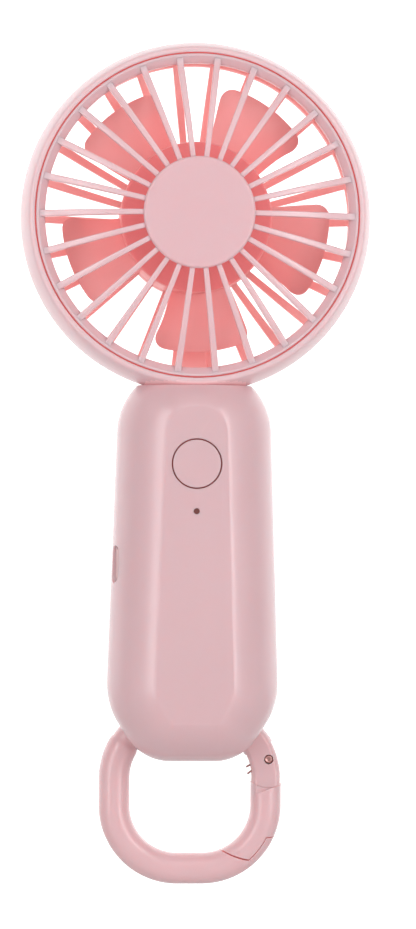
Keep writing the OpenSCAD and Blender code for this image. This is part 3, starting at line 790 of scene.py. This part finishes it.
def round_cutter(x, z, stations, steps=96):
    """A turned cutter along the depth: stations of (forward, radius)."""
    rings = []
    for forward, radius in stations:
        rings.append([(x + radius * math.cos(2 * math.pi * k / steps), -forward,
                       z + radius * math.sin(2 * math.pi * k / steps)) for k in range(steps)])
    return loft(rings)


def slot_cutter(x0, x1, height, width, flare=0.0):
    """A round-ended slot through the left side, for the charging socket; flare widens its outer end."""
    half = (height - width) / 2
    rings = []
    for x, grow in ((x0, flare), (x1, 0.0)):
        radius = width / 2 + grow
        ring = arc((PORT_Y, PORT_Z + half), radius, 0, 180, 16)
        ring += arc((PORT_Y, PORT_Z - half), radius, 180, 360, 16)
        rings.append([(x, y, z) for y, z in ring])
    return loft(rings)


def seat_face(point, normal):
    """Whether a face of the handle lies in the hollow that takes the head ring."""
    return head_radius(point) < barrel(min(abs(point.y), 11.5)) + 0.12


def button_distance(point):
    """A point's distance from the button's axis."""
    return math.hypot(point.x, point.z - BUTTON_Z)


def button_hole_wall(point, normal):
    """Whether a face of the front shell lies on the wall of the button's hole."""
    return -14.85 < point.y < -12 and button_distance(point) < BUTTON_HOLE_R + 0.02


def chamfered_hole(z, radius, straight_f, chamfer, flare, steps=96):
    """A cutter through the flat panel at the handle's middle, with a chamfer at its mouth."""
    stations = [(12, radius), (straight_f, radius), (PANEL_F + 0.02, radius + chamfer), (16, radius + flare)]
    return round_cutter(0, z, stations, steps)


def build_handle_front():
    obj = make_object("handle_front_shell", *shell_mesh(1, PANEL_F), sharp=28)
    trim_neck(obj)
    cuts = [ring_seat()]
    cuts.append(chamfered_hole(BUTTON_Z, BUTTON_HOLE_R, 14.86, 0.16, 0.9))
    cuts.append(chamfered_hole(LED_Z, LED_HOLE_R, 14.9, 0.12, 0.84, 40))
    cuts.append(slot_cutter(-26, -15, 9.4, 3.7))
    cuts.append(slot_cutter(-26, -20.35, 10.0, 4.2, 0.3))
    carve(obj, cuts)
    clean(obj, 28)
    place_piece(obj, "fan_body", PINK, "handle_front")
    # Painted shade on the wall of the button's hole.
    tint_faces(obj, BUTTON_GAP_SHADE, button_hole_wall)
    # Painted glow in the hollow that takes the head ring, in place of its shade.
    tint_faces(obj, PINK_NECK_GLOW, seat_face)


def grip_solid(side, flat_f, wall, start):
    """The grip's volume on one side of the parting plane, drawn in by a wall, beginning at depth start."""
    rings = half_shell(side, flat_f, wall)
    ceiling = NECK_Z - wall
    rings = [[(x, y, min(z, ceiling)) for x, y, z in ring] for ring in rings]
    if start:
        rings.insert(0, [(x, -start, z) for x, _, z in rings[0]])
    return rings


def post(x, z, radius, start_f, end_f):
    """A cylinder along the depth, as a screw's post or as the hole for its head."""
    return round_cutter(x, z, [(start_f, radius), (end_f, radius)], 48)


CASE_BOSSES = ((15, 36), (-15, 36), (15, -19), (-15, -19))
CASE_BOSS_R = 3.4
CASE_HEAD_R = 2.1
NECK_BOSSES = ((5.5, 46.4), (-5.5, 46.4))
NECK_BOSS_R = 3.1
NECK_HEAD_R = 1.9


def rear_cavity():
    """The hollow of the rear shell, stopped short of the loop's room and of the hinge cap's seat."""
    cavity = make_object("cavity", *loft(grip_solid(-1, BACK_F, WALL, 1.0)), sharp=30)
    swing_wall = box_mesh((-BEYOND, CUT_Y - WALL, BELOW), (BEYOND, BEYOND, CUT_Z + WALL))
    seat_side = LUG_X + WALL
    seat_wall = box_mesh((-seat_side, LOOP_Y - WALL, BELOW), (seat_side, BEYOND, CAP_TOP_Z + WALL + 0.1))
    carve(cavity, [swing_wall, seat_wall])
    return cavity


def rear_bosses():
    """The screw posts of the rear shell, cut off under its skin."""
    posts = [post(x, z, CASE_BOSS_R, -3.4, -16) for x, z in CASE_BOSSES]
    posts += [post(x, z, NECK_BOSS_R, -8.9, -16) for x, z in NECK_BOSSES]
    bosses = make_object("bosses", *merge(posts), sharp=30)
    carve(bosses, [loft(grip_solid(-1, BACK_F, 0.7, 0.0))], "INTERSECT")
    return bosses


def build_handle_rear():
    obj = make_object("handle_rear_shell", *loft(half_shell(-1, BACK_F, 0)), sharp=28)
    trim_neck(obj)
    swing_room = box_mesh((-BEYOND, CUT_Y, BELOW), (BEYOND, BEYOND, CUT_Z))
    lug = box_mesh((-LUG_X, CUT_Y - 1.4, LUG_LOW_Z), (LUG_X, LOOP_Y, CUT_Z + 1.5))
    carve(obj, [take_shape(rear_cavity()), swing_room])
    carve(obj, [lug], "UNION")
    carve(obj, [take_shape(rear_bosses())], "UNION")
    stem_room = box_mesh((-STEM_HALF_W - 0.2, -1, 43), (STEM_HALF_W + 0.2, 8.6, 60))
    cap_seat = box_mesh((-LUG_X - 0.1, LOOP_Y, BELOW), (LUG_X + 0.1, 30, CAP_TOP_Z + 0.12))
    cuts = [ring_seat(), stem_room, cap_seat, journal_cutter(JOURNAL_R)]
    cuts += [post(x, z, CASE_HEAD_R, -5, -20) for x, z in CASE_BOSSES]
    cuts += [post(x, z, NECK_HEAD_R, -11.5, -20) for x, z in NECK_BOSSES]
    carve(obj, cuts)
    soften(obj, 0.14, 2, 35)
    place_piece(obj, "fan_body", PINK, "handle_rear")
    # Painted glow in the hollow that takes the head ring, in place of its shade.
    tint_faces(obj, PINK_NECK_GLOW, seat_face)


def journal_cutter(radius, length=24):
    """A cutter along the swing axis."""
    rings = []
    for x in (-length, length):
        rings.append([(x, LOOP_Y + radius * math.cos(2 * math.pi * k / 64),
                       PIVOT_Z + radius * math.sin(2 * math.pi * k / 64)) for k in range(64)])
    return loft(rings)


def build_hinge_cap():
    low, high = LUG_LOW_Z, CAP_TOP_Z
    outline = fillet([(-LUG_X, low, 1.6), (LUG_X, low, 1.6), (LUG_X, high, 0.6), (-LUG_X, high, 0.6)], 6)
    obj = make_object("hinge_cap_block", *prism(outline, LOOP_Y + 0.02, CAP_BACK_Y), sharp=30)
    heads = [post(x, CAP_SCREW_Z, 1.7, -11.8, -20) for x in (-CAP_SCREW_X, CAP_SCREW_X)]
    carve(obj, [journal_cutter(JOURNAL_R), *heads])
    soften(obj, 0.55, 4, 50)
    place_piece(obj, "fan_body", PINK, "hinge_cap")


def button_profile():
    """The button's face with its soft edge, its skirt in the hole, its flange and its foot."""
    front = PANEL_F + 0.08
    face = [(0.0, front - 0.10), (3.5, front - 0.06), (5.2, front - 0.01), (BUTTON_R - 0.32, front - 0.01)]
    edge = arc((BUTTON_R - 0.28, front - 0.29), 0.28, 90, 0, 5)
    skirt = [(BUTTON_R, 14.45), (6.33, 14.38), (6.33, 12.85)]
    flange = [(7.4, 12.8), (7.4, 11.95), (4.6, 11.9)]
    return face + edge + skirt + flange + [(2.2, 11.72), (0.0, 11.72)]


def build_button():
    verts, faces = lathe(button_profile(), 128)
    verts = [(x, y, z - HEAD_Z + BUTTON_Z) for x, y, z in verts]
    obj = make_object("power_button_cap", verts, faces, sharp=40)
    place_piece(obj, "button", PINK, "power_button")
    # Painted shade on the button's skirt in the gap.
    tint_faces(obj, BUTTON_GAP_SHADE, lambda p, n: button_distance(p) > BUTTON_R - 0.02)


# ---------------------------------------------------------------- carabiner

TUBE_R = 4.0
BAR_R = 2.98
LOOP_HALF_W = -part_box("carabiner_frame")[0].x / MM - TUBE_R
LOOP_HALF_H = 20.0
CORNER_R = 16.5
LOOP_Z = PIVOT_Z - LOOP_HALF_H
CORNER_X = LOOP_HALF_W - CORNER_R
CORNER_DZ = LOOP_HALF_H - CORNER_R
CHEEK_HALF = 3.0
EAR_SLOT = 1.7
EAR_R = 1.9
LATCH_X = 8.0
SHOULDER_R = 7.36
NECK_R = 3.7
LIP_R = CORNER_R + 2.0
LIP_TOP_R = 20.4
SOCKET_R = 26.8
GATE_END_R = 26.42
LOWER_CORNER = (CORNER_X, LOOP_Z - CORNER_DZ)
HINGE = (PIN_X, PIN_Z)


def bend(side, up, start, end, steps):
    """Middle-line points round a corner of the loop, with the outward direction at each."""
    cx, cz = side * CORNER_X, LOOP_Z + up * CORNER_DZ
    points = []
    for step in range(steps + 1):
        angle = math.radians(start + (end - start) * step / steps)
        out_x, out_z = math.cos(angle), math.sin(angle)
        points.append((cx + CORNER_R * out_x, cz + CORNER_R * out_z, out_x, out_z))
    return points


def tube(points, radii, flat=None, sides=48):
    """A round bar along (x, z, outward x, outward z) points; flat limits its half thickness."""
    rings = []
    for (x, z, ox, oz), radius in zip(points, radii):
        ring = []
        for k in range(sides):
            angle = 2 * math.pi * k / sides
            out, deep = radius * math.cos(angle), radius * math.sin(angle)
            if flat is not None:
                deep = max(-flat, min(flat, deep))
            ring.append((x + out * ox, LOOP_Y + deep, z + out * oz))
        rings.append(ring)
    return loft(rings)


def loop_path():
    """From the swing bar's left end down and round to the gate's side."""
    points = bend(-1, 1, 114, 146, 10)
    radii = [NECK_R] * len(points)
    kink = bend(-1, 1, 147.2, 180, 14)
    points += kink
    radii += [TUBE_R - 0.12] + [TUBE_R] * (len(kink) - 1)
    for part in (bend(-1, -1, 180, 270, 36), bend(1, -1, 270, 345, 30)):
        points += part
        radii += [TUBE_R] * len(part)
    return points, radii


def about_pin(radius, y_half, steps=120):
    """A cylinder about the gate's pin."""
    ring = arc(HINGE, radius, 0, 360 - 360 / steps, steps - 1)
    return prism(ring, LOOP_Y - y_half, LOOP_Y + y_half)


def lip_sector(r_in, start):
    """The room of the latch's lip: what lies outside a radius, from an angle up to the loop's side."""
    outline = arc(LOWER_CORNER, r_in, start, 0, 40) + arc(LOWER_CORNER, CORNER_R + 10, 0, start, 40)
    return prism(outline, LOOP_Y - 9, LOOP_Y + 9)


def build_carabiner_frame():
    points, radii = loop_path()
    obj = make_object("carabiner_ring", *tube(points, radii), sharp=35)
    lip = make_object("latch_lip", *tube(points, radii), sharp=35)
    carve(lip, [lip_sector(LIP_R, -62)], "INTERSECT")
    carve(lip, [about_pin(LIP_TOP_R, 12, 200)])
    carve(obj, [about_pin(SOCKET_R, 10, 240)])
    carve(obj, [take_shape(lip)], "UNION")
    soften(obj, 0.18, 3, 40)
    bar_path = [(x, PIVOT_Z, 0, 1) for x in (-10.4, -9, 0, 9, 10.4)]
    bar = make_object("swing_bar", *tube(bar_path, [BAR_R] * len(bar_path)), sharp=35)
    neck = make_object("cheek_neck", *tube(bend(1, 1, 42, 65, 10), [NECK_R] * 11), sharp=35)
    join(obj, [bar, neck, build_cheeks()])
    place_piece(obj, "carabiner", PINK_LOOP, "carabiner_frame")
    # Painted shade on the frame's faces in the latch's gaps.
    tint_arc(obj, PINK_SOCKET_SHADE, SOCKET_R - 0.2, SOCKET_R + 0.15, HINGE, PIN_Z - 16)
    tint_arc(obj, PINK_SOCKET_SHADE, LIP_TOP_R - 0.2, LIP_TOP_R + 0.2, HINGE, PIN_Z - 16)
    tint_arc(obj, PINK_SOCKET_SHADE, LIP_R - 0.2, LIP_R + 0.1, LOWER_CORNER, PIN_Z - 16)
    # Painted shade, with a faint painted glow, in the crease at the cheeks' shoulder.
    tint_arc(obj, PAINTED_SHOULDER_SHADE, SHOULDER_R - 0.36, SHOULDER_R + 0.14, HINGE, PIN_Z - 4)


def build_cheeks():
    """The two cheeks that hold the pin, with the slot for the gate's ears between them."""
    points = bend(1, 1, -24, 44, 30)
    radii = [min(TUBE_R, NECK_R + 0.05 * (len(points) - 1 - k)) for k in range(len(points))]
    cheek = make_object("cheek", *tube(points, radii, CHEEK_HALF), sharp=30)
    keep = arc(HINGE, SHOULDER_R - 0.06, 180, 360, 48)
    keep += [(45, PIN_Z), (45, -20), (0, -20), (0, PIN_Z)]
    carve(cheek, [prism(keep, LOOP_Y - 8, LOOP_Y + 8)], "INTERSECT")
    slot = box_mesh((8, LOOP_Y - EAR_SLOT, -75), (38, LOOP_Y + EAR_SLOT, PIN_Z + 1))
    carve(cheek, [about_pin(4.6, EAR_SLOT), slot])
    carve(cheek, [about_pin(1.22, 8, 48)])
    soften(cheek, 0.16, 2, 35)
    return cheek


def gate_bar():
    """The gate's bar: ended on arcs about the pin, cut away for the lip, and flat beside the cheeks."""
    side = [(LOOP_HALF_W, LOOP_Z + dz, 1, 0) for dz in (6, 4, 2, 0, -2)]
    points = side + bend(1, -1, 360, 292, 34)
    obj = make_object("carabiner_gate_bar", *tube(points, [TUBE_R - 0.02] * len(points)), sharp=35)
    carve(obj, [about_pin(GATE_END_R, 10, 240)], "INTERSECT")
    cut = make_object("lip_room", *lip_sector(LIP_R - 0.16, -64), sharp=35)
    carve(cut, [about_pin(LIP_TOP_R - 0.2, 12, 200)])
    flat = [(10, -56.5), (26, -50.7), (26, -40), (10, -40)]
    near = prism(flat, LOOP_Y - 12, LOOP_Y - CHEEK_HALF)
    far = prism(flat, LOOP_Y + CHEEK_HALF, LOOP_Y + 12)
    carve(obj, [about_pin(SHOULDER_R, 10, 160), take_shape(cut), near, far])
    soften(obj, 0.18, 3, 40)
    return obj


def gate_ears():
    """The two ears by which the gate turns on its pin."""
    outline = [(PIN_X - EAR_R, PIN_Z), (16.2, PIN_Z - 9.4), (22.8, PIN_Z - 9.4), (PIN_X + EAR_R, PIN_Z)]
    outline += arc(HINGE, EAR_R, 0, 180, 16)[1:-1]
    pair = []
    for y0, y1 in ((-1.6, -0.9), (0.9, 1.6)):
        ear = make_object("ear", *prism(outline, LOOP_Y + y0, LOOP_Y + y1), sharp=30)
        carve(ear, [about_pin(1.15, 8, 48)])
        soften(ear, 0.08, 2, 35)
        pair.append(ear)
    return pair


def build_gate():
    obj = gate_bar()
    join(obj, gate_ears())
    place_piece(obj, "gate", PINK_LOOP, "carabiner_gate")
    # Painted glow on the gate's faces in the latch's gaps, in place of light through the plastic.
    tint_arc(obj, PINK_SEAM_GLOW, GATE_END_R - 0.17, GATE_END_R + 0.08, HINGE)
    tint_arc(obj, PINK_SEAM_GLOW, LIP_TOP_R - 0.35, LIP_TOP_R + 0.05, HINGE)
    tint_arc(obj, PINK_SEAM_GLOW, LIP_R - 0.35, LIP_R + 0.05, LOWER_CORNER)
    # Painted shade, with a faint painted glow, in the crease at the gate's shoulder.
    tint_arc(obj, PAINTED_SHOULDER_SHADE, SHOULDER_R - 0.16, SHOULDER_R + 0.24, HINGE)


def build_gate_pin():
    profile = [(0.0, 2.50), (0.30, 2.50), (0.38, 2.62), (0.74, 2.74), (0.92, 2.66), (1.0, 2.50), (1.10, 2.2),
               (1.10, -2.2), (1.0, -2.5), (0.92, -2.66), (0.74, -2.74), (0.0, -2.70)]
    verts, faces = lathe(profile, 64)
    verts = [(x + PIN_X, y + LOOP_Y, z - HEAD_Z + PIN_Z) for x, y, z in verts]
    obj = make_object("gate_pin_rivet", verts, faces, sharp=30)
    place_piece(obj, "carabiner", DULL_STEEL, "gate_pin")


def join(obj, others):
    """Adds the other objects' meshes to obj."""
    work = bmesh.new()
    work.from_mesh(obj.data)
    for other in others:
        work.from_mesh(other.data)
        bpy.data.objects.remove(other)
    work.to_mesh(obj.data)
    work.free()
    shade(obj, 35)


# ---------------------------------------------------------------- stage

# Millimetres; the floor lies well below the object.
FLOOR_SIZE = 6000.0
FLOOR_Z = -190.0
# Brightness round the object, from behind the camera (0) to behind the object (1).
BACKDROP = ((0.0, 0.50), (0.20, 0.24), (0.42, 0.18), (0.78, 0.97), (1.0, 1.0))
# Metres, degrees and millimetres.
CAMERA_PLACE = (-0.0390, -0.720, 0.0314)
CAMERA_YAW = 3.39
CAMERA_ROLL = 0.4
LENS_MM = 108.5


def build_floor():
    """A pale floor whose far part is lit up, so that it fades into the white backdrop."""
    low = (-FLOOR_SIZE, -FLOOR_SIZE, FLOOR_Z - 4)
    obj = make_object("floor", *box_mesh(low, (FLOOR_SIZE, FLOOR_SIZE, FLOOR_Z)), sharp=30)
    material = bpy.data.materials.new("floor_paper")
    material.use_nodes = True
    shader = material.node_tree.nodes["Principled BSDF"]
    shader.inputs["Base Color"].default_value = (0.62, 0.61, 0.61, 1.0)
    shader.inputs["Roughness"].default_value = 0.9
    shader.inputs["Emission Color"].default_value = (1.0, 1.0, 1.0, 1.0)
    place = material.node_tree.nodes.new("ShaderNodeTexCoord")
    split = material.node_tree.nodes.new("ShaderNodeSeparateXYZ")
    node_link(material.node_tree, place, "Object", split, "Vector")
    glow = map_range(material.node_tree, From_Min=0.15, From_Max=0.60, To_Min=0.0, To_Max=0.75)
    node_link(material.node_tree, split, "Y", glow, "Value")
    node_link(material.node_tree, glow, "Result", shader, "Emission Strength")
    obj.data.materials.append(material)


def softbox(name, place, target, width, height, watts):
    """A soft area light aimed at a target, in metres and watts."""
    light = bpy.data.lights.new(name, "AREA")
    light.shape = "RECTANGLE"
    light.size = width
    light.size_y = height
    light.energy = watts
    obj = bpy.data.objects.new(name, light)
    bpy.context.scene.collection.objects.link(obj)
    obj.location = place
    obj.rotation_euler = (Vector(target) - Vector(place)).to_track_quat("-Z", "Y").to_euler()


def build_lights():
    """A tall softbox on each side, and a wide one high in front."""
    softbox("left_softbox", (-0.51, -0.54, 0.08), (0, 0, 0.02), 0.20, 0.9, 2.15)
    softbox("right_softbox", (0.49, -0.56, 0.08), (0, 0, 0.02), 0.20, 0.9, 2.45)
    softbox("front_fill", (0.0, -0.95, 0.95), (0, 0, 0.04), 0.9, 0.6, 2.1)


def build_world():
    """A bright backdrop that is dimmer behind the camera, so that the plastic keeps its shading."""
    world = bpy.data.worlds.new("studio")
    bpy.context.scene.world = world
    world.use_nodes = True
    tree = world.node_tree
    background = tree.nodes["Background"]
    background.inputs["Strength"].default_value = 1.5
    place = tree.nodes.new("ShaderNodeTexCoord")
    split = tree.nodes.new("ShaderNodeSeparateXYZ")
    node_link(tree, place, "Generated", split, "Vector")
    depth = map_range(tree, From_Min=-1.0)
    node_link(tree, split, "Y", depth, "Value")
    ramp = tree.nodes.new("ShaderNodeValToRGB")
    ramp.color_ramp.interpolation = "EASE"
    while len(ramp.color_ramp.elements) < len(BACKDROP):
        ramp.color_ramp.elements.new(0.5)
    for element, (place_on, level) in zip(ramp.color_ramp.elements, BACKDROP):
        element.position = place_on
        element.color = (level, level, level, 1.0)
    node_link(tree, depth, "Result", ramp, "Fac")
    node_link(tree, ramp, "Color", background, "Color")
    bpy.context.scene.view_settings.view_transform = "Standard"


def build_camera():
    yaw = math.radians(CAMERA_YAW)
    roll = math.radians(CAMERA_ROLL)
    forward = Vector((math.sin(yaw), math.cos(yaw), 0))
    side = Vector((math.cos(yaw), -math.sin(yaw), 0))
    up = Vector((0, 0, 1))
    camera_x = side * math.cos(roll) + up * math.sin(roll)
    camera_y = up * math.cos(roll) - side * math.sin(roll)
    data = bpy.data.cameras.new("camera")
    data.sensor_width = 36.0
    data.lens = LENS_MM
    data.clip_start = 0.01
    data.clip_end = 50.0
    obj = bpy.data.objects.new("camera", data)
    bpy.context.scene.collection.objects.link(obj)
    matrix = obj.matrix_world.copy()
    for row in range(3):
        matrix[row][0] = camera_x[row]
        matrix[row][1] = camera_y[row]
        matrix[row][2] = -forward[row]
        matrix[row][3] = CAMERA_PLACE[row]
    obj.matrix_world = matrix
    bpy.context.scene.camera = obj


dress_cad_nodes()
build_front_bezel()
build_rear_housing()
build_center_cap()
build_front_grille()
build_rear_grille()
build_impeller()
build_handle_front()
build_handle_rear()
build_hinge_cap()
build_button()
build_carabiner_frame()
build_gate()
build_gate_pin()
build_floor()
build_lights()
build_world()
build_camera()
